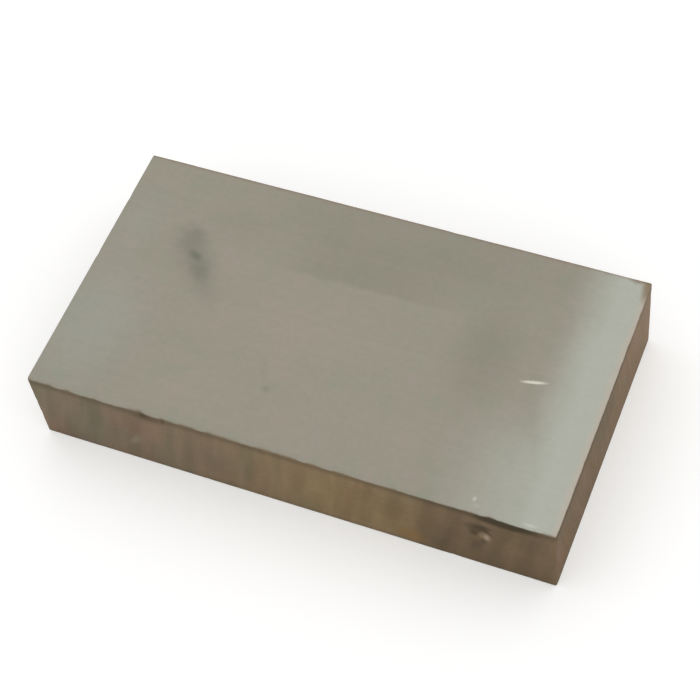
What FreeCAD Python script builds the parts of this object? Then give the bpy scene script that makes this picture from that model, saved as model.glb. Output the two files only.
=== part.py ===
"""Aluminium flat bar: one sawn length of solid extruded stock.

The bar lies flat. Its own frame has the origin at the middle of the underside, X along the length,
Y from the front edge face to the back one and Z up. All sizes are in millimetres.
"""

import FreeCAD
import Part
import os

# The stock: a 3 by 1 inch flat section, sawn off 5 1/2 inches long.
BAR_LENGTH = 139.7
BAR_WIDTH = 76.2
BAR_THICKNESS = 25.4

# The edges: the four long arrises are rounded by the extrusion die, the sawn ends are only deburred.
ARRIS_RADIUS = 0.8
DEBURR_WIDTH = 0.3

# The knock in the front edge face: a shallow round dent near the right-hand end.
DENT_WIDTH = 4.0
DENT_DEPTH = 0.5
DENT_FROM_RIGHT_END = 18.0
DENT_BELOW_TOP = 9.6

# Two places nearer than this are one place.
SAME_PLACE = 1e-6


def flat_section():
    """The bar's cross-section, a rectangle with rounded corners, as a face on the left-hand end plane."""
    half_width = BAR_WIDTH / 2
    corners = [
        (-half_width, 0, 1, 1),
        (half_width, 0, -1, 1),
        (half_width, BAR_THICKNESS, -1, -1),
        (-half_width, BAR_THICKNESS, 1, -1),
    ]
    arcs = [corner_arc(*corner) for corner in corners]
    edges = []
    for arc, following in zip(arcs, arcs[1:] + arcs[:1]):
        side_start = arc.valueAt(arc.LastParameter)
        side_end = following.valueAt(following.FirstParameter)
        edges += [arc, Part.makeLine(side_start, side_end)]
    return Part.Face(Part.Wire(edges))


def corner_arc(y, z, inward_y, inward_z):
    """One rounded corner, where the sides would meet at (y, z), drawn anticlockwise as seen from +X."""
    x = -BAR_LENGTH / 2
    middle_y = y + inward_y * ARRIS_RADIUS
    middle_z = z + inward_z * ARRIS_RADIUS
    reach = ARRIS_RADIUS / 2**0.5
    on_edge_face = FreeCAD.Vector(x, y, middle_z)
    on_wide_face = FreeCAD.Vector(x, middle_y, z)
    half_way = FreeCAD.Vector(x, middle_y - inward_y * reach, middle_z - inward_z * reach)
    ends = (on_edge_face, on_wide_face) if inward_y == inward_z else (on_wide_face, on_edge_face)
    return Part.Arc(ends[0], half_way, ends[1]).toShape()


def deburred(bar):
    """The bar with a small chamfer all the way round each sawn end."""
    ends = [-BAR_LENGTH / 2, BAR_LENGTH / 2]
    rims = [
        edge
        for edge in bar.Edges
        if edge.BoundBox.XLength < SAME_PLACE
        and any(abs(edge.BoundBox.Center.x - end) < SAME_PLACE for end in ends)
    ]
    return bar.makeChamfer(DEBURR_WIDTH, rims)


def dent_tool():
    """The ball that leaves the dent: its radius follows from the dent's width and depth."""
    ball_radius = (DENT_WIDTH**2 / 4 + DENT_DEPTH**2) / (2 * DENT_DEPTH)
    centre = FreeCAD.Vector(
        BAR_LENGTH / 2 - DENT_FROM_RIGHT_END,
        -BAR_WIDTH / 2 - ball_radius + DENT_DEPTH,
        BAR_THICKNESS - DENT_BELOW_TOP,
    )
    return Part.makeSphere(ball_radius, centre)


def flat_bar():
    """The whole bar as one solid."""
    blank = flat_section().extrude(FreeCAD.Vector(BAR_LENGTH, 0, 0))
    return deburred(blank).cut(dent_tool())


os.makedirs("parts", exist_ok=True)
flat_bar().Solids[0].exportStep("parts/flat_bar.step")
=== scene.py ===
"""A sawn length of aluminium flat bar, lying on a plain pale floor.

The bar's skin is one closed surface, worked out on a lattice that closes up round the small marks. Its
finish is a single metal recipe: a dull mill surface on the wide faces, with a painted sheen at the
right-hand end, a painted reflection of a brown floor on the narrow ones, painted shade under the arrises,
near the floor, in knocks and round the dent, painted highlights on the dent and two arrises, and the
stains, scratch and knocks of a bar that has been handled. Names of lengths in millimetres end in _MM, and
the skin and the finish are worked out in millimetres. The rest is in metres. The bar has X along its
length, Y from the front edge face to the back one and Z up.
"""

import math

import bpy
import numpy as np
from mathutils import Matrix, Vector


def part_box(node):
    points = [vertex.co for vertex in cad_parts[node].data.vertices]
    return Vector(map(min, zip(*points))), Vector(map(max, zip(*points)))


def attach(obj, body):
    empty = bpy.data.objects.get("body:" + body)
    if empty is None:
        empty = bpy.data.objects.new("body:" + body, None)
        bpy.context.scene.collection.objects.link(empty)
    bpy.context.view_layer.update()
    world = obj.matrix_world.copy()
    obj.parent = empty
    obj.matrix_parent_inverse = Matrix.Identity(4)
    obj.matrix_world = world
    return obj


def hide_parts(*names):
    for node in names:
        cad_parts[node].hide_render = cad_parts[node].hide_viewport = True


bl_info = {
    "name": "Aluminium Flat Bar",
    "version": (1, 0, 0),
    "blender": (4, 5, 0),
    "location": "3D View > Sidebar > Flat Bar",
    "description": "Makes a stained, sawn length of aluminium flat bar and a plain stage for it",
    "category": "Add Mesh",
}

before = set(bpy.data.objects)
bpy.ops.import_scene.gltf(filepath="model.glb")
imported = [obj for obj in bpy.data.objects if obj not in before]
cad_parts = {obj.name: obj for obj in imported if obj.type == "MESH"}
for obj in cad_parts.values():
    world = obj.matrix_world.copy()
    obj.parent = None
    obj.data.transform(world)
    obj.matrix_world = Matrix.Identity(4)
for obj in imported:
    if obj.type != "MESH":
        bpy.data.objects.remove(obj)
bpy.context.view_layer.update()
BAR_LOW, BAR_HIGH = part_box("flat_bar")

MM = 0.001
LENGTH_MM, WIDTH_MM, THICKNESS_MM = (side / MM for side in BAR_HIGH - BAR_LOW)
LEFT_MM = BAR_LOW.x / MM
RIGHT_MM = BAR_HIGH.x / MM
FRONT_MM = BAR_LOW.y / MM
BACK_MM = BAR_HIGH.y / MM
UNDERSIDE_MM = BAR_LOW.z / MM
TOP_MM = BAR_HIGH.z / MM


def painted(red, green, blue):
    """A colour given as on a paint chart, 0 to 255 a channel, in the linear values that a shader takes.

    Each channel is divided by 255 and put through the usual screen curve, a power of 2.4 with a straight
    toe.
    """
    level = np.array([red, green, blue]) / 255
    linear = np.where(level <= 0.04045, level / 12.92, ((level + 0.055) / 1.055) ** 2.4)
    return tuple(float(channel) for channel in linear)


# ----------------------------------------------------------------------------------------------------
# What a user may change


class FlatBarShape(bpy.types.PropertyGroup):
    """Sizes of the bar's edges and of the knocks in it."""

    arris_radius: bpy.props.FloatProperty(
        name="Arris radius",
        description="Radius of the four long edges, as the die leaves them",
        default=0.8 * MM,
        min=0.1 * MM,
        max=3 * MM,
        precision=5,
        unit="LENGTH",
    )
    deburr_radius: bpy.props.FloatProperty(
        name="Deburring radius",
        description="How far the sawn ends' sharp edges are broken",
        default=0.35 * MM,
        min=0.05 * MM,
        max=2 * MM,
        precision=5,
        unit="LENGTH",
    )
    dent_width: bpy.props.FloatProperty(
        name="Dent width",
        description="Width of the round dent in the front edge face",
        default=4.0 * MM,
        min=0.5 * MM,
        max=8 * MM,
        precision=5,
        unit="LENGTH",
    )
    dent_depth: bpy.props.FloatProperty(
        name="Dent depth",
        description="Depth of the round dent in the front edge face",
        default=0.5 * MM,
        min=0.0,
        max=1.5 * MM,
        precision=5,
        unit="LENGTH",
    )
    scratch_depth: bpy.props.FloatProperty(
        name="Scratch depth",
        description="Depth of the short scratch in the top face",
        default=0.08 * MM,
        min=0.0,
        max=0.3 * MM,
        precision=5,
        unit="LENGTH",
    )


class FlatBarFinish(bpy.types.PropertyGroup):
    """Colours of the metal, its painted sheen and the painted reflection of a brown floor on its edges."""

    mill_colour: bpy.props.FloatVectorProperty(
        name="Mill surface",
        description="Dull grey-beige of the two wide faces",
        default=painted(152, 148, 134),
        min=0.0,
        max=1.0,
        size=3,
        subtype="COLOR",
    )
    # A painted sheen: the paler colour laid on the right-hand end strip.
    sheen_colour: bpy.props.FloatVectorProperty(
        name="Painted sheen",
        description="Paler metal of the right-hand end strip, where the film has been rubbed off",
        default=painted(175, 177, 166),
        min=0.0,
        max=1.0,
        size=3,
        subtype="COLOR",
    )
    # The painted reflection of a brown floor on the narrow faces.
    floor_reflection_colour: bpy.props.FloatVectorProperty(
        name="Edge floor reflection",
        description="Brown of the narrow edge faces",
        default=painted(143, 124, 97),
        min=0.0,
        max=1.0,
        size=3,
        subtype="COLOR",
    )


class FlatBarStage(bpy.types.PropertyGroup):
    """The floor, the lamps and the camera."""

    floor_size: bpy.props.FloatProperty(
        name="Floor size",
        description="Side of the square floor",
        default=6.0,
        min=0.5,
        max=50.0,
        unit="LENGTH",
    )
    floor_colour: bpy.props.FloatVectorProperty(
        name="Floor",
        description="Pale matt floor",
        default=(0.80, 0.80, 0.79),
        min=0.0,
        max=1.0,
        size=3,
        subtype="COLOR",
    )
    key_power: bpy.props.FloatProperty(
        name="Key lamp",
        description="Power of the lamp behind and above the bar, in watts",
        default=0.2,
        min=0.0,
    )
    fill_power: bpy.props.FloatProperty(
        name="Fill lamp",
        description="Power of the low lamp in front of the bar, in watts",
        default=1.2,
        min=0.0,
    )
    camera_azimuth: bpy.props.FloatProperty(
        name="Azimuth",
        description="How far round to the right of the front edge face the camera stands",
        default=math.radians(29.92),
        subtype="ANGLE",
    )
    camera_elevation: bpy.props.FloatProperty(
        name="Elevation",
        description="How steeply the camera looks down",
        default=math.radians(55.82),
        subtype="ANGLE",
    )
    camera_roll: bpy.props.FloatProperty(
        name="Roll",
        description="How far the camera is turned about its own line of sight",
        default=math.radians(-9.77),
        subtype="ANGLE",
    )
    camera_lens: bpy.props.FloatProperty(
        name="Lens",
        description="Focal length on a 36 mm wide sensor, in millimetres",
        default=97.43,
        min=10.0,
        max=300.0,
    )


# ----------------------------------------------------------------------------------------------------
# The bar's skin

# How far apart the lattice's places are along X, Y and Z, away from anything small.
OPEN_STEPS_MM = (0.72, 0.85, 0.75)

# How far apart they are on small things.
ARRIS_STEP_MM = 0.14
DEBURR_STEP_MM = 0.08
DENT_STEP_MM = 0.26
KNOCKS_STEP_MM = 0.4
SCRATCH_STEP_MM = 0.16

# How many places the spacing is added up over.
FINE_PLACES = 20001


def stations(low, high, step, close_ups):
    """Places from low to high along one side of the bar, closer together where something is small.

    The places per millimetre are 1 / step, and inside each close-up (middle, reach, fine step) they rise to
    1 / fine step along a flat-topped bell, exp(-(distance / reach)^4). They are added up along the side, and
    the sum is cut into equal parts.
    """
    along = np.linspace(low, high, FINE_PLACES)
    rate = np.full(along.shape, 1 / step)
    for middle, reach, fine in close_ups:
        closeness = np.exp(-(((along - middle) / reach) ** 4))
        rate = np.maximum(rate, 1 / step + (1 / fine - 1 / step) * closeness)
    count = np.concatenate(([0], np.cumsum((rate[1:] + rate[:-1]) / 2 * np.diff(along))))
    parts = math.ceil(count[-1])
    return np.interp(np.linspace(0, count[-1], parts + 1), count, along)


def side_quads(grid, turned):
    """The quads of one side, from the grid of its point numbers. A turned side is wound backwards."""
    corners = [grid[:-1, :-1], grid[1:, :-1], grid[1:, 1:], grid[:-1, 1:]]
    if turned:
        corners = [corners[0], corners[3], corners[2], corners[1]]
    return np.stack([corner.ravel() for corner in corners], axis=1)


def block_lattice(xs, ys, zs):
    """The skin of a sharp-edged block: its lattice points, and the quads of its six sides, facing outwards.

    Every lattice point with an index at either end of its row lies on the skin. The points are numbered in
    one go, so two sides that meet share the points of their common edge and the skin is closed.
    """
    on_skin = np.ones((len(xs), len(ys), len(zs)), bool)
    on_skin[1:-1, 1:-1, 1:-1] = False
    number = np.cumsum(on_skin).reshape(on_skin.shape) - 1
    points = np.stack(np.meshgrid(xs, ys, zs, indexing="ij"), axis=-1)[on_skin]
    sides = {
        "left_end": side_quads(number[0], True),
        "right_end": side_quads(number[-1], False),
        "front": side_quads(number[:, 0], False),
        "back": side_quads(number[:, -1], True),
        "underside": side_quads(number[:, :, 0], True),
        "top": side_quads(number[:, :, -1], False),
    }
    return points, sides


def rounded(points, radii):
    """A sharp-edged block's points moved on to the block with rounded edges, and the outward normal at each.

    The block is shrunk by its radii to a core. A point's place in the core is the point, clipped to it. The
    way from there to the point, measured in radii and brought to length one, is the normal in radii, and the
    rounded skin lies one such length from the core.
    """
    middle = (points.min(axis=0) + points.max(axis=0)) / 2
    half = np.ptp(points, axis=0) / 2
    core = middle + np.clip(points - middle, radii - half, half - radii)
    way = (points - core) / radii
    way /= np.linalg.norm(way, axis=1, keepdims=True)
    normals = way / radii
    normals /= np.linalg.norm(normals, axis=1, keepdims=True)
    return core + way * radii, normals


def ripple(along, waves, seed):
    """A slow wobble between -1 and 1: the mean of sines with given lengths, whose starts are drawn."""
    starts = np.random.default_rng(seed).uniform(0, 2 * math.pi, len(waves))
    turns = 2 * math.pi * along[..., None] / np.array(waves) + starts
    return np.sin(turns).mean(axis=-1)


def bell(distance, reach):
    """1 at distance 0, falling off as exp(-(distance / reach)^2)."""
    return np.exp(-((distance / reach) ** 2))


# The dent in the front edge face, and the short scratch in the top face.
DENT_AT_MM = (RIGHT_MM - 18.0, FRONT_MM, TOP_MM - 9.6)
SCRATCH_FROM_MM = (LEFT_MM + 117.4, BACK_MM - 38.3)
SCRATCH_TO_MM = (LEFT_MM + 125.0, BACK_MM - 36.6)
SCRATCH_HALF_WIDTH_MM = 0.32

# How far the lattice is close on each side of the scratch, and round the dent in dent widths. Over the top
# arris it is close for longer than the arris's radius, because the knocks reach further down.
SCRATCH_REACH_MM = 1.9
DENT_REACH = 0.75
TOP_ARRIS_REACH = 1.7

# Knocks in the front top arris: place from the left-hand end, half-length and depth.
FRONT_KNOCKS_MM = [
    (32.2, 1.6, 0.26),
    (37.6, 1.0, 0.20),
    (45.5, 0.8, 0.08),
    (68.0, 0.9, 0.06),
    (123.0, 1.4, 0.12),
]

# How far each of them reaches back over the top and down the front.
FRONT_KNOCK_REACH_MM = (1.1, 1.4)

# The stretch where the two deepest of them are: its middle from the left-hand end, and its reach.
DEEP_KNOCKS_MM = (33.7, 6.0)

# The bruise below the same arris near the right-hand end: its start and end, how far it lies below the top,
# its half-height and its depth. Its ends are soft over this length, and its depth varies by this much.
BRUISE_MM = (117.0, 136.0, 1.15, 0.45, 0.10)
BRUISE_SOFT_MM = 0.6
BRUISE_VARIES = 0.35

# The small knocks drawn at random: how many, how deep, and their reach along their arris and across it.
SMALL_KNOCKS = 26
SMALL_KNOCK_DEPTH_MM = (0.06, 0.16)
SMALL_KNOCK_ALONG_MM = (0.5, 1.6)
SMALL_KNOCK_ACROSS_MM = (0.45, 0.9)

# The mean depth of the faces' own unevenness, and how much the arrises' radius varies.
HOLLOW_DEPTH_MM = 0.012
ARRIS_WEAR = 0.10


def dent_depth(points, width, depth):
    """Depth of the round dent: a ball's cap that is as wide and as deep as asked, with its rim eased.

    The ball's radius is (width^2 / 4 + depth^2) / (2 depth), and the cap's depth at a distance r from its
    middle is sqrt(radius^2 - r^2) - (radius - depth). A softened maximum with 0 rounds the rim.
    """
    away = np.hypot(points[:, 0] - DENT_AT_MM[0], points[:, 2] - DENT_AT_MM[2])
    radius = (width**2 / 4 + depth**2) / (2 * depth)
    cap = np.sqrt(np.maximum(radius**2 - away**2, 0)) - (radius - depth)
    easing = 0.03
    eased = (cap + np.sqrt(cap**2 + easing**2)) / 2
    return np.where(points[:, 1] < FRONT_MM + 1, eased, 0) * (away < width)


def scratch_depth(points, depth):
    """Depth of the scratch: a groove along a short line, deepest in the middle.

    The depth is a bell across the line, times the square root of a bell along it.
    """
    start, end = np.array(SCRATCH_FROM_MM), np.array(SCRATCH_TO_MM)
    length = np.linalg.norm(end - start)
    along_line = (end - start) / length
    offset = points[:, :2] - (start + end) / 2
    along = offset @ along_line
    across = offset @ np.array([-along_line[1], along_line[0]])
    groove = bell(across, SCRATCH_HALF_WIDTH_MM) * np.exp(-((2 * along / length) ** 6))
    return np.where(points[:, 2] > TOP_MM - 0.5, groove * depth, 0)


def knock_depth(points, middle, reach, depth):
    """Depth of one knock: a bell in the distance from its middle, measured in its reach along each axis."""
    away = np.linalg.norm((points - np.array(middle)) / np.array(reach), axis=1)
    return depth * bell(away, 1)


def knocks_depth(points):
    """Depth of all the knocks in the arrises: those listed, and small ones drawn at random."""
    depth = np.zeros(len(points))
    for from_left, half_length, deep in FRONT_KNOCKS_MM:
        middle = (LEFT_MM + from_left, FRONT_MM, TOP_MM)
        reach = (half_length, *FRONT_KNOCK_REACH_MM)
        depth = np.maximum(depth, knock_depth(points, middle, reach, deep))
    start, end, below, half_height, deep = BRUISE_MM
    along = points[:, 0] - LEFT_MM
    begun = 1 / (1 + np.exp((start - along) / BRUISE_SOFT_MM))
    stretch = begun / (1 + np.exp((along - end) / BRUISE_SOFT_MM))
    broken = 1 - BRUISE_VARIES + BRUISE_VARIES * ripple(along, [1.3, 2.1, 3.7, 7.9], seed=5)
    line = bell(TOP_MM - below - points[:, 2] + 0.15 * ripple(along, [5.3, 9.1], seed=6), half_height)
    bruise = np.where(points[:, 1] < FRONT_MM + 0.9, deep * stretch * broken * line, 0)
    low = [LEFT_MM, FRONT_MM, UNDERSIDE_MM]
    high = [RIGHT_MM, BACK_MM, TOP_MM]
    draw = np.random.default_rng(11)
    for _ in range(SMALL_KNOCKS):
        edge = draw.integers(0, 3)
        middle = np.where(draw.uniform(size=3) < 0.5, low, high)
        reach = draw.uniform(*SMALL_KNOCK_ACROSS_MM, size=3)
        middle[edge] = draw.uniform(low, high)[edge]
        reach[edge] = draw.uniform(*SMALL_KNOCK_ALONG_MM)
        deep = draw.uniform(*SMALL_KNOCK_DEPTH_MM)
        depth = np.maximum(depth, knock_depth(points, middle, reach, deep))
    return depth + bruise


def slow_hollows(points):
    """The faces' own unevenness: hollows of at most a few hundredths of a millimetre.

    They are the mean of three slow ripples, which run mostly along X, Y and Z, lifted so that it is never
    below 0.
    """
    total = (
        ripple(points[:, 0] + 0.4 * points[:, 1], [31, 47, 83], seed=1)
        + ripple(points[:, 1] - 0.3 * points[:, 0] + points[:, 2], [23, 37, 61], seed=2)
        + ripple(points[:, 2] * 1.7 + 0.2 * points[:, 0], [13, 29], seed=3)
    )
    return HOLLOW_DEPTH_MM * (total / 3 + 1)


def sleeve_map(points, sides):
    """The bar's own flat map: a place on it for each corner of each quad, side by side.

    The four long sides are unrolled into one strip, front, top, back and underside, so u is the place along
    the bar and v is how far round the section it is. The two ends lie beside the strip. All share one scale.
    """
    x, y, z = (points - points.min(axis=0)).T
    width, thickness = WIDTH_MM, THICKNESS_MM
    gap = 2.0
    beside = LENGTH_MM + gap + thickness - z
    unrolled = {
        "left_end": (beside, gap + 2 * width - y),
        "right_end": (beside, y),
        "front": (x, z),
        "top": (x, thickness + y),
        "back": (x, 2 * thickness + width - z),
        "underside": (x, 2 * (thickness + width) - y),
    }
    square = 2 * (width + thickness) + 2 * gap
    corners = [(np.stack(unrolled[name], axis=1)[quads] + gap) / square for name, quads in sides.items()]
    return np.concatenate(corners).reshape(-1, 2)


def mesh_from(name, points, quads, flat_map=None):
    """A smooth-shaded mesh from arrays of points and quads, in metres."""
    mesh = bpy.data.meshes.new(name)
    mesh.vertices.add(len(points))
    mesh.vertices.foreach_set("co", points.astype(np.float32).ravel())
    mesh.loops.add(quads.size)
    mesh.loops.foreach_set("vertex_index", quads.astype(np.int32).ravel())
    mesh.polygons.add(len(quads))
    mesh.polygons.foreach_set("loop_start", np.arange(0, quads.size, 4, dtype=np.int32))
    mesh.update(calc_edges=True)
    mesh.validate()
    mesh.polygons.foreach_set("use_smooth", np.ones(len(quads), bool))
    if flat_map is not None:
        layer = mesh.uv_layers.new(name="OFBake")
        layer.uv.foreach_set("vector", flat_map.astype(np.float32).ravel())
    return mesh


def bar_mesh(shape):
    """The bar's skin, in metres: a rounded block with its hollows, dent, scratch and knocks pressed in."""
    arris = shape.arris_radius / MM
    deburr = shape.deburr_radius / MM
    dent_reach = DENT_REACH * shape.dent_width / MM
    scratch_y = (SCRATCH_FROM_MM[1] + SCRATCH_TO_MM[1]) / 2
    knocks_middle, knocks_reach = DEEP_KNOCKS_MM
    step_x, step_y, step_z = OPEN_STEPS_MM
    xs = stations(
        LEFT_MM,
        RIGHT_MM,
        step_x,
        [
            (LEFT_MM, deburr, DEBURR_STEP_MM),
            (RIGHT_MM, deburr, DEBURR_STEP_MM),
            (DENT_AT_MM[0], dent_reach, DENT_STEP_MM),
            (LEFT_MM + knocks_middle, knocks_reach, KNOCKS_STEP_MM),
        ],
    )
    ys = stations(
        FRONT_MM,
        BACK_MM,
        step_y,
        [
            (FRONT_MM, arris, ARRIS_STEP_MM),
            (BACK_MM, arris, ARRIS_STEP_MM),
            (scratch_y, SCRATCH_REACH_MM, SCRATCH_STEP_MM),
        ],
    )
    zs = stations(
        UNDERSIDE_MM,
        TOP_MM,
        step_z,
        [
            (UNDERSIDE_MM, arris, ARRIS_STEP_MM),
            (TOP_MM, TOP_ARRIS_REACH * arris, ARRIS_STEP_MM),
            (DENT_AT_MM[2], dent_reach, DENT_STEP_MM),
        ],
    )
    block, sides = block_lattice(xs, ys, zs)
    worn = arris * (1 + ARRIS_WEAR * ripple(block[:, 0], [19, 33, 57], seed=4))
    radii = np.stack([np.full(len(block), deburr), worn, worn], axis=1)
    points, normals = rounded(block, radii)
    pressed_in = (
        slow_hollows(points)
        + dent_depth(points, shape.dent_width / MM, shape.dent_depth / MM)
        + scratch_depth(points, shape.scratch_depth / MM)
        + knocks_depth(points)
    )
    points -= normals * pressed_in[:, None]
    quads = np.concatenate(list(sides.values()))
    return mesh_from("bar_metal", points * MM, quads, sleeve_map(block, sides))


# ----------------------------------------------------------------------------------------------------
# The finish

# What noise is mostly between.
NOISE_LOW = 0.3
NOISE_HIGH = 0.7


class Recipe:
    """The node tree of one finish. Each method adds a node or two and returns the socket of the result."""

    def __init__(self, name):
        self.material = bpy.data.materials.new(name)
        self.material.use_nodes = True
        self.tree = self.material.node_tree
        self.tree.nodes.clear()

    def node(self, kind, inputs, out=0, **settings):
        """One output of a new node of that kind, with its settings, and its inputs linked or set."""
        made = self.tree.nodes.new("ShaderNode" + kind)
        for setting, value in settings.items():
            setattr(made, setting, value)
        for socket, value in inputs.items():
            if isinstance(value, bpy.types.NodeSocket):
                self.tree.links.new(value, made.inputs[socket])
            else:
                made.inputs[socket].default_value = value
        return made.outputs[out]

    def finished(self, shader):
        """Puts the shader on the material's surface."""
        output = self.tree.nodes.new("ShaderNodeOutputMaterial")
        self.tree.links.new(shader, output.inputs["Surface"])

    def axis(self, place, letter):
        """One coordinate of a place."""
        return self.node("SeparateXYZ", {0: place}, out=letter)

    def sum(self, *values):
        """The sum of two or more values."""
        total = values[0]
        for value in values[1:]:
            total = self.node("Math", {0: total, 1: value}, operation="ADD")
        return total

    def times(self, *values):
        """The product of two or more values."""
        total = values[0]
        for value in values[1:]:
            total = self.node("Math", {0: total, 1: value}, operation="MULTIPLY")
        return total

    def largest(self, *values):
        """The largest of two or more values."""
        most = values[0]
        for value in values[1:]:
            most = self.node("Math", {0: most, 1: value}, operation="MAXIMUM")
        return most

    def ease(self, value, start, end, low=0.0, high=1.0):
        """A value turned into low before start and high after end, smoothly. Start may be above end."""
        inputs = {"Value": value, "From Min": start, "From Max": end, "To Min": low, "To Max": high}
        return self.node("MapRange", inputs, interpolation_type="SMOOTHSTEP")

    def ranged(self, noise, low, high):
        """Noise turned into low where it is low and high where it is high, smoothly."""
        return self.ease(noise, NOISE_LOW, NOISE_HIGH, low, high)

    def scaled(self, place, x, y, z):
        """A place with each of its axes multiplied."""
        return self.node("VectorMath", {0: place, 1: (x, y, z)}, operation="MULTIPLY")

    def leaned(self, place, turn):
        """A place seen in axes that are turned by those angles about X, Y and Z."""
        return self.node("Mapping", {"Vector": place, "Rotation": turn}, vector_type="TEXTURE")

    def noise(self, place, size, detail, roughness=0.5, stretch=(1, 1, 1)):
        """Smooth noise with spots of that size, stretched along each axis by those factors."""
        spread = self.scaled(place, *(1 / (size * by) for by in stretch))
        inputs = {"Vector": spread, "Scale": 1.0, "Detail": detail, "Roughness": roughness}
        return self.node("TexNoise", inputs)

    def wander(self, place, size, reach):
        """A place pushed to and fro by noise with spots of that size, by up to half the reach each way."""
        spread = self.scaled(place, 1 / size, 1 / size, 1 / size)
        colour = self.node("TexNoise", {"Vector": spread, "Scale": 1.0, "Detail": 3.0}, out=1)
        push = self.node("VectorMath", {0: colour, 1: (0.5, 0.5, 0.5)}, operation="SUBTRACT")
        push = self.scaled(push, reach, reach, reach)
        return self.node("VectorMath", {0: place, 1: push}, operation="ADD")

    def spot(self, place, middle, half, turn, clear_rim):
        """An oval spot: 1 inside, 0 outside. The rim is clear near 1, and at 0 it fades from the middle on.

        The place is moved to the spot's middle, turned with it and divided by its half sizes. The length of
        what is left says how far out it is.
        """
        inputs = {"Vector": place, "Location": middle, "Rotation": turn, "Scale": half}
        inside = self.node("Mapping", inputs, vector_type="TEXTURE")
        away = self.node("VectorMath", {0: inside}, out=1, operation="LENGTH")
        return self.ease(away, 1.0, clear_rim)

    def stained(self, colour, amount, stain):
        """A colour mixed with another by some amount, for stains and for painted light and shade alike."""
        return self.node("Mix", {0: amount, 6: colour, 7: stain}, out=2, data_type="RGBA")

    def shaded(self, colour, amount):
        """A colour multiplied by an amount."""
        return self.node("VectorMath", {0: colour, "Scale": amount}, operation="SCALE")


def rgba(colour):
    """A colour with its alpha, as a socket takes it."""
    return (*colour[:3], 1.0)


def chart(colour):
    """A paint chart's colour, as a socket takes it."""
    return rgba(painted(*colour))


# A spot's half size square to the face that it lies on, large enough that its depth there never counts.
THROUGH_MM = 500.0

# Colours of the wide faces' film and of what lies on it, on the paint chart.
FILM_COOL = (146, 146, 131)
FILM_WARM = (158, 149, 138)
MOTTLE_PINK = (162, 147, 138)
MOTTLE_GREEN = (140, 147, 130)
WARM_HAZE = (160, 150, 137)
PALE_HAZE = (158, 159, 149)
DAMP_HAZE = (139, 136, 122)
TIDE = (134, 131, 116)
OIL_HAZE = (112, 114, 102)
OIL = (98, 102, 90)
CORNER_BROWN = (130, 112, 87)
BACK_RIM = (140, 116, 98)
# A painted highlight along the right-hand top arris, which is also worn there.
END_RIM_HIGHLIGHT_AND_WEAR = (188, 176, 162)
FRESH_METAL = (214, 212, 198)
# Worn metal, and a painted highlight on the front arris.
WEAR_AND_HIGHLIGHT = (198, 197, 185)
RUBBED_METAL = (176, 177, 164)

# Colours of the painted reflection of a brown floor on the edge faces and the ends, and of what lies on it
# or is painted over it as shade or highlight. They are a fifth lighter than they look, because these faces
# mirror the shaded floor.
EDGE_GREY = (132, 118, 101)
EDGE_PINK = (146, 118, 100)
EDGE_OLIVE = (124, 122, 96)
EDGE_GREEN = (126, 124, 106)
EDGE_GOLD = (142, 122, 88)
EDGE_ORANGE = (146, 114, 72)
EDGE_DARK = (118, 101, 81)
EDGE_SHADE = (104, 91, 74)
# These two are painted shade: under the arrises, near the floor, in knocks, in the bruise and round the
# dent.
PAINTED_SHADE = (96, 84, 68)
DEEP_PAINTED_SHADE = (76, 68, 54)
PALE_STREAK = (160, 150, 132)
# A painted highlight on the dent's lower wall.
PAINTED_DENT_GLINT = (162, 143, 129)
END_FRONT = (132, 111, 84)
END_BACK = (152, 127, 100)
END_ORANGE = (150, 108, 74)
END_PINK = (160, 126, 108)
END_OLIVE = (132, 124, 92)
END_SHADE = (112, 98, 80)

# What lies on the top face, the lowest first, and a painted highlight. Each has its distances from the
# left-hand end and from the back edge, its half-length and half-width, its turn, how clear its rim is, its
# colour and its strength.
CLOUDS = [
    (62, 41, 34, 18, 8, 0.1, WARM_HAZE, 0.45),
    (40, 66, 24, 12, 0, 0.1, WARM_HAZE, 0.25),
    (90, 60, 26, 12, -10, 0.1, WARM_HAZE, 0.25),
    (8, 55, 20, 28, 0, 0.1, PALE_HAZE, 0.55),
    (6, 22, 10, 18, 0, 0.1, PALE_HAZE, 0.30),
    (78, 4, 60, 22, 0, 0.3, DAMP_HAZE, 0.50),
    (107, 33, 13, 24, 0, 0.1, DAMP_HAZE, 0.60),
    (33, 16, 16, 9, 0, 0.1, DAMP_HAZE, 0.30),
    (26, 29, 17, 7.5, -49, 0.0, OIL_HAZE, 0.40),
    (22.0, 22.0, 6.5, 5.0, -49, 0.0, OIL_HAZE, 0.32),
]
SMALL_STAINS = [
    (25.2, 27.8, 3.4, 1.9, -25, 0.0, OIL, 0.56),
    (28.6, 32.5, 5.6, 3.2, -55, 0.0, OIL, 0.28),
    (34.0, 39.0, 6.0, 4.0, -50, 0.0, OIL, 0.09),
    (59.0, 60.0, 1.7, 1.5, 0, 0.0, OIL, 0.24),
    (56.5, 55.0, 6.0, 1.6, -65, 0.0, OIL, 0.08),
    (139.4, 2.0, 2.4, 6.5, 0, 0.2, CORNER_BROWN, 0.80),
    (137.0, 0.6, 4.0, 1.4, 0, 0.2, CORNER_BROWN, 0.60),
]
BRIGHT_MARKS = [
    (121.2, 37.45, 4.4, 0.66, 12.6, 0.25, FRESH_METAL, 0.95),
    (118.4, 72.6, 0.8, 1.0, 0, 0.0, WEAR_AND_HIGHLIGHT, 0.75),
    (119.4, 74.2, 1.5, 0.8, 0, 0.0, RUBBED_METAL, 0.45),
    # A painted highlight on the front arris.
    (133.0, 75.2, 2.8, 0.7, 0, 0.0, WEAR_AND_HIGHLIGHT, 0.70),
]
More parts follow.
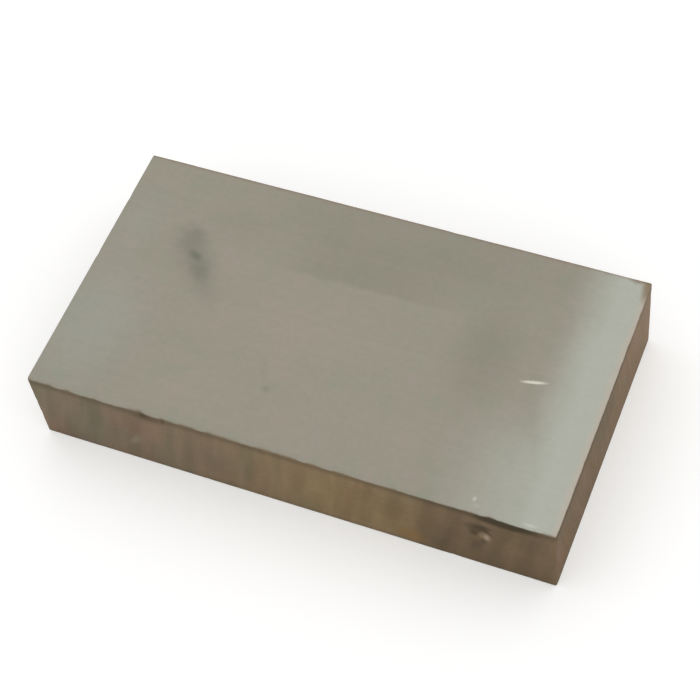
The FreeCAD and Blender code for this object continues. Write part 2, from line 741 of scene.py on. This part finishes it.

# The same for the front edge face, with the distance below the top instead. Most of its marks are painted
# shade, and one is a painted highlight. A positive turn leans the top to the right.
EDGE_CLOUDS = [
    (16, 16, 16, 12, 10, 0.1, EDGE_GREEN, 0.42),
    (28, 8, 12, 9, 0, 0.1, EDGE_PINK, 0.40),
    (50, 12, 14, 16, 12, 0.1, EDGE_GREY, 0.40),
    (90, 12, 26, 15, 0, 0.1, EDGE_GOLD, 0.55),
    (102, 21, 6, 4.5, 0, 0.1, EDGE_ORANGE, 0.55),
    (109, 17, 7, 12, 0, 0.1, EDGE_SHADE, 0.45),
    (129, 9, 9, 8, 0, 0.1, EDGE_GOLD, 0.25),
    (97, 8, 10, 12, 0, 0.1, EDGE_SHADE, 0.28),
    (130, 7, 13, 9, 0, 0.1, EDGE_SHADE, 0.45),
]
EDGE_MARKS = [
    # The next three are painted shade in the deepest knocks of the front arris.
    (33.5, 2.0, 6.5, 3.0, 0, 0.1, EDGE_SHADE, 0.75),
    (32.4, 1.4, 1.8, 1.4, 0, 0.1, DEEP_PAINTED_SHADE, 0.65),
    (37.8, 1.6, 1.0, 1.6, 0, 0.1, DEEP_PAINTED_SHADE, 0.55),
    # The next five are painted shadow under the front arris, darkest along the bruise near the right-hand
    # end.
    (117, 1.2, 25.0, 1.6, 0, 0.1, PAINTED_SHADE, 0.55),
    (127.5, 1.8, 11.5, 2.6, 0, 0.3, DEEP_PAINTED_SHADE, 0.80),
    (127.0, 1.6, 9.0, 1.5, 0, 0.6, DEEP_PAINTED_SHADE, 0.60),
    (123.4, 1.4, 2.6, 1.5, 0, 0.0, DEEP_PAINTED_SHADE, 0.55),
    (131.8, 1.3, 3.6, 1.4, 0, 0.0, DEEP_PAINTED_SHADE, 0.55),
    # The next five are painted shade round the dent: on its upper wall and below it.
    (119.9, 7.0, 4.6, 3.0, -8, 0.0, DEEP_PAINTED_SHADE, 0.70),
    (121.8, 6.6, 2.4, 2.0, 0, 0.1, DEEP_PAINTED_SHADE, 0.55),
    (119.1, 9.8, 1.9, 2.4, 0, 0.0, DEEP_PAINTED_SHADE, 0.75),
    (121.3, 13.2, 1.1, 2.4, 6, 0.0, DEEP_PAINTED_SHADE, 0.60),
    (119.6, 15.5, 2.4, 6.0, 14, 0.0, PAINTED_SHADE, 0.65),
    (27.4, 15.6, 1.6, 5.0, 28, 0.0, PALE_STREAK, 0.50),
    # A painted highlight on the dent's lower wall.
    (122.3, 11.1, 1.4, 2.0, -14, 0.0, PAINTED_DENT_GLINT, 0.80),
]

# How far the streaks of the edge faces and the saw marks of the ends lean.
STREAK_LEAN = math.radians(12)
SAW_LEAN = math.radians(14)

# The depth of the fine relief, and the metal's roughness from its shiniest places to its dullest.
DIE_LINE_DEPTH_MM = 0.004
SAW_LINE_DEPTH_MM = 0.0013
GRAIN_DEPTH_MM = 0.001
ROUGHNESS = (0.38, 0.50)

# The tide mark on the top face: how far from the back edge, and then from the left-hand end, it starts, is
# full, starts to fade and has gone. How strong it is comes last.
TIDE_BAND_MM = (25.2, 23.4, 24.0, 4.0)
TIDE_STRETCH_MM = (40, 60, 76, 108)
TIDE_STRENGTH = 0.42


def on_top(from_left, from_back, half_length, half_width, turn):
    """Where a spot of the top face is: its middle, half sizes and turn about X, Y and Z."""
    middle = (LEFT_MM + from_left, BACK_MM - from_back, TOP_MM)
    return middle, (half_length, half_width, THROUGH_MM), (0, 0, math.radians(turn))


def on_front(from_left, below_top, half_length, half_height, turn):
    """Where a spot of the front edge face is. A positive turn leans its top to the right."""
    middle = (LEFT_MM + from_left, FRONT_MM, TOP_MM - below_top)
    return middle, (half_length, THROUGH_MM, half_height), (0, math.radians(turn), 0)


def laid_on(recipe, place, colour, spots, face, mask):
    """A colour with a list of spots laid over it one after the other, all of them only where the mask is."""
    for *where, clear_rim, stain, strength in spots:
        amount = recipe.times(recipe.spot(place, *face(*where), clear_rim), strength, mask)
        colour = recipe.stained(colour, amount, chart(stain))
    return colour


def two_hues(recipe, colour, noise, high, low, strength):
    """A colour that leans to one hue where the noise is high and to another where it is low."""
    colour = recipe.stained(colour, recipe.ease(noise, 0.5, NOISE_HIGH, 0, strength), chart(high))
    return recipe.stained(colour, recipe.ease(noise, 0.5, NOISE_LOW, 0, strength), chart(low))


def tide_mark(recipe, place):
    """The band that something wet left along the back: 1 just behind its edge, and fading backwards."""
    ragged = recipe.wander(place, 9.0, 2.2)
    along, apart = recipe.axis(ragged, "X"), recipe.axis(ragged, "Y")
    start, full, fading, gone = TIDE_BAND_MM
    behind = recipe.times(
        recipe.ease(apart, BACK_MM - start, BACK_MM - full),
        recipe.ease(apart, BACK_MM - gone, BACK_MM - fading),
    )
    start, full, fading, gone = TIDE_STRETCH_MM
    stretch = recipe.times(
        recipe.ease(along, LEFT_MM + start, LEFT_MM + full),
        recipe.ease(along, LEFT_MM + gone, LEFT_MM + fading),
    )
    return recipe.times(behind, stretch)


def sheen_strip(recipe, place):
    """The painted sheen at the right-hand end, a paler strip straight at the back and spreading at the
    front.
    """
    ragged = recipe.wander(place, 14.0, 5.0)
    along, apart = recipe.axis(ragged, "X"), recipe.axis(ragged, "Y")
    straight = recipe.ease(along, LEFT_MM + 120, LEFT_MM + 134)
    spreading = recipe.times(
        recipe.ease(along, LEFT_MM + 102, LEFT_MM + 138),
        recipe.ease(apart, BACK_MM - 40, BACK_MM - 62),
    )
    return recipe.largest(straight, recipe.times(spreading, 0.9))


def die_lines(recipe, place):
    """The fine lines that the die draws along the bar."""
    return recipe.noise(place, 0.5, detail=4.0, roughness=0.6, stretch=(80, 1, 1))


def saw_lines(recipe, place):
    """The fine lines that the saw leaves on the ends, leaning forwards."""
    return recipe.noise(recipe.leaned(place, (SAW_LEAN, 0, 0)), 0.45, detail=3.0, stretch=(1, 1, 60))


def wide_face_colour(recipe, place, finish):
    """The dull mill surface of the two wide faces, with the top's stains, marks, painted sheen and
    highlights.
    """
    upper = recipe.ease(recipe.axis(place, "Z"), TOP_MM - 3, TOP_MM - 2)
    film = recipe.stained(chart(FILM_COOL), recipe.noise(place, 17, detail=3.0), chart(FILM_WARM))
    film = recipe.stained(film, 0.4, rgba(finish.mill_colour))
    mottling = recipe.noise(place, 7.0, detail=4.0, roughness=0.6)
    film = two_hues(recipe, film, mottling, MOTTLE_PINK, MOTTLE_GREEN, 0.35)
    film = laid_on(recipe, recipe.wander(place, 5.0, 5.0), film, CLOUDS, on_top, upper)
    film = recipe.stained(film, recipe.times(tide_mark(recipe, place), upper, TIDE_STRENGTH), chart(TIDE))
    # A painted sheen on the right-hand end strip.
    film = recipe.stained(film, recipe.times(sheen_strip(recipe, place), upper), rgba(finish.sheen_colour))
    ragged = recipe.wander(place, 2.2, 1.2)
    back_rim = recipe.ease(recipe.axis(ragged, "Y"), BACK_MM - 1.6, BACK_MM - 0.2, 0, 0.5)
    film = recipe.stained(film, recipe.times(back_rim, upper), chart(BACK_RIM))
    # Painted highlight and wear along the right-hand top arris.
    rim_highlight_and_wear = recipe.ease(recipe.axis(ragged, "X"), RIGHT_MM - 2.0, RIGHT_MM - 0.5, 0, 0.6)
    film = recipe.stained(film, recipe.times(rim_highlight_and_wear, upper), chart(END_RIM_HIGHLIGHT_AND_WEAR))
    film = laid_on(recipe, ragged, film, SMALL_STAINS, on_top, upper)
    return laid_on(recipe, recipe.wander(place, 1.0, 0.25), film, BRIGHT_MARKS, on_top, upper)


def edge_face_colour(recipe, place, finish):
    """The two long edge faces, in leaning streaks, with the front one's marks.

    Their brown is a painted reflection of a brown floor.
    """
    along, across, height = (recipe.axis(place, letter) for letter in "XYZ")
    front = recipe.ease(across, FRONT_MM + 3, FRONT_MM + 2)
    leaning = recipe.leaned(place, (0, STREAK_LEAN, 0))
    streaks = recipe.noise(leaning, 3.8, detail=3.0, stretch=(1, 1, 7))
    hues = recipe.noise(leaning, 7.5, detail=1.0, stretch=(1, 1, 4))
    to_left = recipe.ease(along, LEFT_MM + 84, LEFT_MM + 12)
    # The brown here is a painted reflection of a brown floor.
    reflection_and_marks = recipe.stained(rgba(finish.floor_reflection_colour), to_left, chart(EDGE_GREY))
    reflection_and_marks = two_hues(recipe, reflection_and_marks, hues, EDGE_PINK, EDGE_OLIVE, 0.33)
    dark_end = recipe.ease(along, LEFT_MM + 100, LEFT_MM + 109, 0, 0.85)
    reflection_and_marks = recipe.stained(reflection_and_marks, dark_end, chart(EDGE_DARK))
    reflection_and_marks = laid_on(recipe, recipe.wander(place, 5.0, 4.0), reflection_and_marks, EDGE_CLOUDS, on_front, front)
    reflection_and_marks = recipe.shaded(reflection_and_marks, recipe.ranged(streaks, 0.91, 1.10))
    reflection_and_marks = recipe.shaded(reflection_and_marks, recipe.ranged(die_lines(recipe, place), 0.95, 1.05))
    # Painted shade under the top arris and near the floor.
    under_arris = recipe.ease(height, TOP_MM - 3.8, TOP_MM - 0.9, 0, 0.50)
    near_floor = recipe.ease(height, UNDERSIDE_MM + 3.0, UNDERSIDE_MM + 0.6, 0, 0.25)
    reflection_and_marks = recipe.stained(reflection_and_marks, recipe.sum(under_arris, near_floor), chart(PAINTED_SHADE))
    # The back face takes less of the painted brown and more of the mill colour.
    less_brown = recipe.ease(across, FRONT_MM + 3, BACK_MM - 3, 0, 0.55)
    reflection_and_marks = recipe.stained(reflection_and_marks, less_brown, rgba(finish.mill_colour))
    return laid_on(recipe, recipe.wander(place, 1.4, 0.8), reflection_and_marks, EDGE_MARKS, on_front, front)


def end_face_colour(recipe, place, finish):
    """The sawn ends, paler towards the back, in faint streaks, with an orange patch and a dark top rim.

    Their brown is a painted reflection of a brown floor, and the dark top rim and a patch in the middle are
    painted shade.
    """
    along, across, height = (recipe.axis(place, letter) for letter in "XYZ")
    leaning = recipe.leaned(place, (SAW_LEAN, 0, 0))
    streaks = recipe.noise(leaning, 1.3, detail=3.0, stretch=(1, 1, 12))
    hues = recipe.noise(leaning, 5.0, detail=1.0, stretch=(1, 1, 6))
    # The brown here is a painted reflection of a brown floor, darker at the front.
    reflection_and_marks = recipe.stained(chart(END_FRONT), recipe.ease(across, FRONT_MM, BACK_MM), chart(END_BACK))
    low_corner = (RIGHT_MM, FRONT_MM + 7, UNDERSIDE_MM + 9)
    orange_patch = recipe.spot(place, low_corner, (THROUGH_MM, 11, 9), (0, 0, 0), 0.0)
    reflection_and_marks = recipe.stained(reflection_and_marks, recipe.times(orange_patch, 0.5), chart(END_ORANGE))
    reflection_and_marks = two_hues(recipe, reflection_and_marks, hues, END_PINK, END_OLIVE, 0.28)
    # A patch of painted shade in the upper middle of the end.
    upper_middle = (RIGHT_MM, FRONT_MM + 38, TOP_MM - 7)
    painted_shade_patch = recipe.spot(place, upper_middle, (THROUGH_MM, 15, 9), (0, 0, 0), 0.1)
    reflection_and_marks = recipe.stained(reflection_and_marks, recipe.times(painted_shade_patch, 0.4), chart(END_SHADE))
    # Painted shade under the ends' top rim, strongest towards the front.
    rim = recipe.ease(height, TOP_MM - 3.5, TOP_MM - 0.9, 0, 0.70)
    forward = recipe.ease(across, BACK_MM - 6, BACK_MM - 28, 0.4, 1.0)
    reflection_and_marks = recipe.stained(reflection_and_marks, recipe.times(rim, forward), chart(PAINTED_SHADE))
    # The left-hand end takes less of the painted brown and more of the mill colour.
    less_brown = recipe.ease(along, RIGHT_MM - 3, LEFT_MM + 3, 0, 0.55)
    reflection_and_marks = recipe.stained(reflection_and_marks, less_brown, rgba(finish.mill_colour))
    return recipe.shaded(reflection_and_marks, recipe.ranged(streaks, 0.96, 1.04))


def on_wide_faces(recipe, place):
    """1 on the two wide faces, 0 on the rest. The step is half-way round the arris and wanders a little."""
    slip = recipe.ranged(recipe.noise(place, 5.0, detail=4.0), -0.2, 0.2)
    height = recipe.sum(recipe.axis(place, "Z"), slip)
    return recipe.largest(
        recipe.ease(height, TOP_MM - 0.75, TOP_MM - 0.15),
        recipe.ease(height, UNDERSIDE_MM + 0.75, UNDERSIDE_MM + 0.15),
    )


def on_ends(recipe, place):
    """1 on the two sawn ends and 0 on the rest, with a step on the deburred edge."""
    from_middle = recipe.node("Math", {0: recipe.axis(place, "X")}, operation="ABSOLUTE")
    return recipe.ease(from_middle, RIGHT_MM - 0.3, RIGHT_MM - 0.1)


def aluminium(finish):
    """The bar's finish: dull mill metal on the wide faces, painted floor reflection on the edges and ends,
    and all marks, painted sheen, highlights and shade.
    """
    recipe = Recipe("mill_aluminium")
    place = recipe.scaled(recipe.node("TexCoord", {}, out="Object"), 1 / MM, 1 / MM, 1 / MM)
    end = on_ends(recipe, place)
    narrow = recipe.stained(
        edge_face_colour(recipe, place, finish), end, end_face_colour(recipe, place, finish)
    )
    colour = recipe.stained(narrow, on_wide_faces(recipe, place), wide_face_colour(recipe, place, finish))

    # The relief, in millimetres: die lines along the bar, saw marks on the ends and a grain all over.
    drawn = recipe.node("Mix", {0: end, 2: die_lines(recipe, place), 3: saw_lines(recipe, place)})
    grain = recipe.noise(place, 0.35, detail=2.0)
    line_depth = recipe.ease(end, 0, 1, DIE_LINE_DEPTH_MM, SAW_LINE_DEPTH_MM)
    relief = recipe.sum(recipe.times(drawn, line_depth), recipe.times(grain, GRAIN_DEPTH_MM))
    patchy = recipe.noise(place, 1.6, detail=3.0)
    dullness = recipe.sum(recipe.times(patchy, 0.5), recipe.times(drawn, 0.5))
    recipe.finished(
        recipe.node(
            "BsdfPrincipled",
            {
                "Base Color": colour,
                "Metallic": 1.0,
                "Roughness": recipe.ranged(dullness, *ROUGHNESS),
                "Specular Tint": (0.5, 0.5, 0.5, 1.0),
                "Normal": recipe.node("Bump", {"Height": relief, "Strength": 1.0, "Distance": MM}),
            },
        )
    )
    return recipe.material


class FLATBAR_OT_make_bar(bpy.types.Operator):
    """Make the bar: one closed skin with its finish, in place of the plain CAD node"""

    bl_idname = "flatbar.make_bar"
    bl_label = "Make the Bar"
    bl_options = {"REGISTER", "UNDO"}

    def execute(self, context):
        mesh = bar_mesh(context.scene.flat_bar_shape)
        mesh.materials.append(aluminium(context.scene.flat_bar_finish))
        bar = bpy.data.objects.new("bar_metal", mesh)
        context.scene.collection.objects.link(bar)
        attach(bar, "root")
        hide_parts("flat_bar")
        return {"FINISHED"}


# ----------------------------------------------------------------------------------------------------
# The stage


def camera_axes(azimuth, elevation, roll):
    """The camera's right, up and back directions.

    Back points from the bar to the camera: azimuth turns it about Z away from the front, elevation lifts it.
    Right is level and square to back, up is square to both, and roll turns those two about back.
    """
    level = Vector((math.sin(azimuth), -math.cos(azimuth), 0))
    back = level * math.cos(elevation) + Vector((0, 0, math.sin(elevation)))
    right = Vector((0, 0, 1)).cross(back).normalized()
    up = back.cross(right)
    turned_right = right * math.cos(roll) + up * math.sin(roll)
    turned_up = up * math.cos(roll) - right * math.sin(roll)
    return turned_right, turned_up, back


# Where the camera stands and what it looks at, in bar lengths from the middle of the bar's underside.
CAMERA_AWAY = 3.5557
AIM_RIGHT = 0.0028
AIM_UP = 0.0655

# The camera's sensor width in millimetres, and the nearest that it sees, in metres.
SENSOR_WIDTH = 36
NEAREST_SEEN = 0.01

# The lamps, in metres: where they stand and how wide they are.
KEY_LAMP_AT = (-0.5, 0.7, 0.9)
KEY_LAMP_SIZE = 0.8
FILL_LAMP_AT = (0.9, -1.0, 0.35)
FILL_LAMP_SIZE = 0.6

# How much light the floor adds of its own, which lifts its paint to white.
FLOOR_GLOW = 0.26


def make_camera(context, stage):
    """The camera, aimed a little above the middle of the bar's underside."""
    length = BAR_HIGH.x - BAR_LOW.x
    right, up, back = camera_axes(stage.camera_azimuth, stage.camera_elevation, stage.camera_roll)
    under_middle = Vector(((BAR_LOW.x + BAR_HIGH.x) / 2, (BAR_LOW.y + BAR_HIGH.y) / 2, BAR_LOW.z))
    data = bpy.data.cameras.new("camera")
    data.sensor_width = SENSOR_WIDTH
    data.lens = stage.camera_lens
    data.clip_start = NEAREST_SEEN
    camera = bpy.data.objects.new("camera", data)
    turn = Matrix((right, up, back)).transposed().to_4x4()
    stand = under_middle + (right * AIM_RIGHT + up * AIM_UP + back * CAMERA_AWAY) * length
    camera.matrix_world = Matrix.Translation(stand) @ turn
    context.scene.collection.objects.link(camera)
    context.scene.camera = camera


def seen_directly(recipe):
    """1 for what the camera sees, directly or in metal or glass, and 0 for what only lights the bar."""
    kinds = ("Is Camera Ray", "Is Glossy Ray", "Is Transmission Ray")
    return recipe.largest(*(recipe.node("LightPath", {}, out=kind) for kind in kinds))


def floor_paint(stage):
    """Matt pale paint that reads as white away from the bar, and keeps the bar's shadow."""
    recipe = Recipe("floor_paint")
    matt = recipe.node("BsdfDiffuse", {"Color": rgba(stage.floor_colour)})
    strength = recipe.times(seen_directly(recipe), FLOOR_GLOW)
    glow = recipe.node("Emission", {"Color": (1, 1, 1, 1), "Strength": strength})
    recipe.finished(recipe.node("AddShader", {0: matt, 1: glow}))
    return recipe.material


def make_floor(context, stage):
    """A flat square floor under the bar, a plain grid of four points."""
    half = stage.floor_size / 2
    across = np.array([-half, half])
    x, y = np.meshgrid(across, across, indexing="ij")
    points = np.stack([x.ravel(), y.ravel(), np.full(4, BAR_LOW.z)], axis=1)
    mesh = mesh_from("floor", points, side_quads(np.arange(4).reshape(2, 2), False))
    mesh.materials.append(floor_paint(stage))
    floor = bpy.data.objects.new("floor", mesh)
    context.scene.collection.objects.link(floor)


def make_world(context):
    """A plain white room all round, which lights the bar evenly."""
    world = bpy.data.worlds.new("pale_room")
    world.use_nodes = True
    tree = world.node_tree
    tree.nodes.clear()
    background = tree.nodes.new("ShaderNodeBackground")
    background.inputs["Color"].default_value = (1, 1, 1, 1)
    background.inputs["Strength"].default_value = 1.0
    output = tree.nodes.new("ShaderNodeOutputWorld")
    tree.links.new(background.outputs[0], output.inputs[0])
    context.scene.world = world


def make_lamp(context, name, place, size, power):
    """A square soft lamp that faces the bar."""
    data = bpy.data.lights.new(name, "AREA")
    data.shape = "SQUARE"
    data.size = size
    data.energy = power
    lamp = bpy.data.objects.new(name, data)
    lamp.location = place
    lamp.rotation_euler = Vector(place).to_track_quat("Z", "Y").to_euler()
    context.scene.collection.objects.link(lamp)


class FLATBAR_OT_make_stage(bpy.types.Operator):
    """Make the stage: a pale floor, a pale room, soft lamps and the camera"""

    bl_idname = "flatbar.make_stage"
    bl_label = "Make the Stage"
    bl_options = {"REGISTER", "UNDO"}

    def execute(self, context):
        stage = context.scene.flat_bar_stage
        make_camera(context, stage)
        make_floor(context, stage)
        make_world(context)
        make_lamp(context, "key_lamp", KEY_LAMP_AT, KEY_LAMP_SIZE, stage.key_power)
        make_lamp(context, "fill_lamp", FILL_LAMP_AT, FILL_LAMP_SIZE, stage.fill_power)
        context.scene.view_settings.view_transform = "Standard"
        return {"FINISHED"}


class FLATBAR_PT_panel(bpy.types.Panel):
    """Flat bar tools"""

    bl_idname = "FLATBAR_PT_panel"
    bl_label = "Flat Bar"
    bl_space_type = "VIEW_3D"
    bl_region_type = "UI"
    bl_category = "Flat Bar"

    def draw(self, context):
        layout = self.layout
        scene = context.scene
        for group in (scene.flat_bar_shape, scene.flat_bar_finish, scene.flat_bar_stage):
            box = layout.box()
            for name in group.__annotations__:
                box.prop(group, name)
        layout.operator(FLATBAR_OT_make_bar.bl_idname)
        layout.operator(FLATBAR_OT_make_stage.bl_idname)


CLASSES = (
    FlatBarShape,
    FlatBarFinish,
    FlatBarStage,
    FLATBAR_OT_make_bar,
    FLATBAR_OT_make_stage,
    FLATBAR_PT_panel,
)


def register():
    for cls in CLASSES:
        bpy.utils.register_class(cls)
    bpy.types.Scene.flat_bar_shape = bpy.props.PointerProperty(type=FlatBarShape)
    bpy.types.Scene.flat_bar_finish = bpy.props.PointerProperty(type=FlatBarFinish)
    bpy.types.Scene.flat_bar_stage = bpy.props.PointerProperty(type=FlatBarStage)


def unregister():
    del bpy.types.Scene.flat_bar_stage
    del bpy.types.Scene.flat_bar_finish
    del bpy.types.Scene.flat_bar_shape
    for cls in reversed(CLASSES):
        bpy.utils.unregister_class(cls)


def main():
    """Registers the tools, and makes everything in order."""
    register()
    bpy.ops.flatbar.make_bar()
    bpy.ops.flatbar.make_stage()


if __name__ == "__main__":
    main()
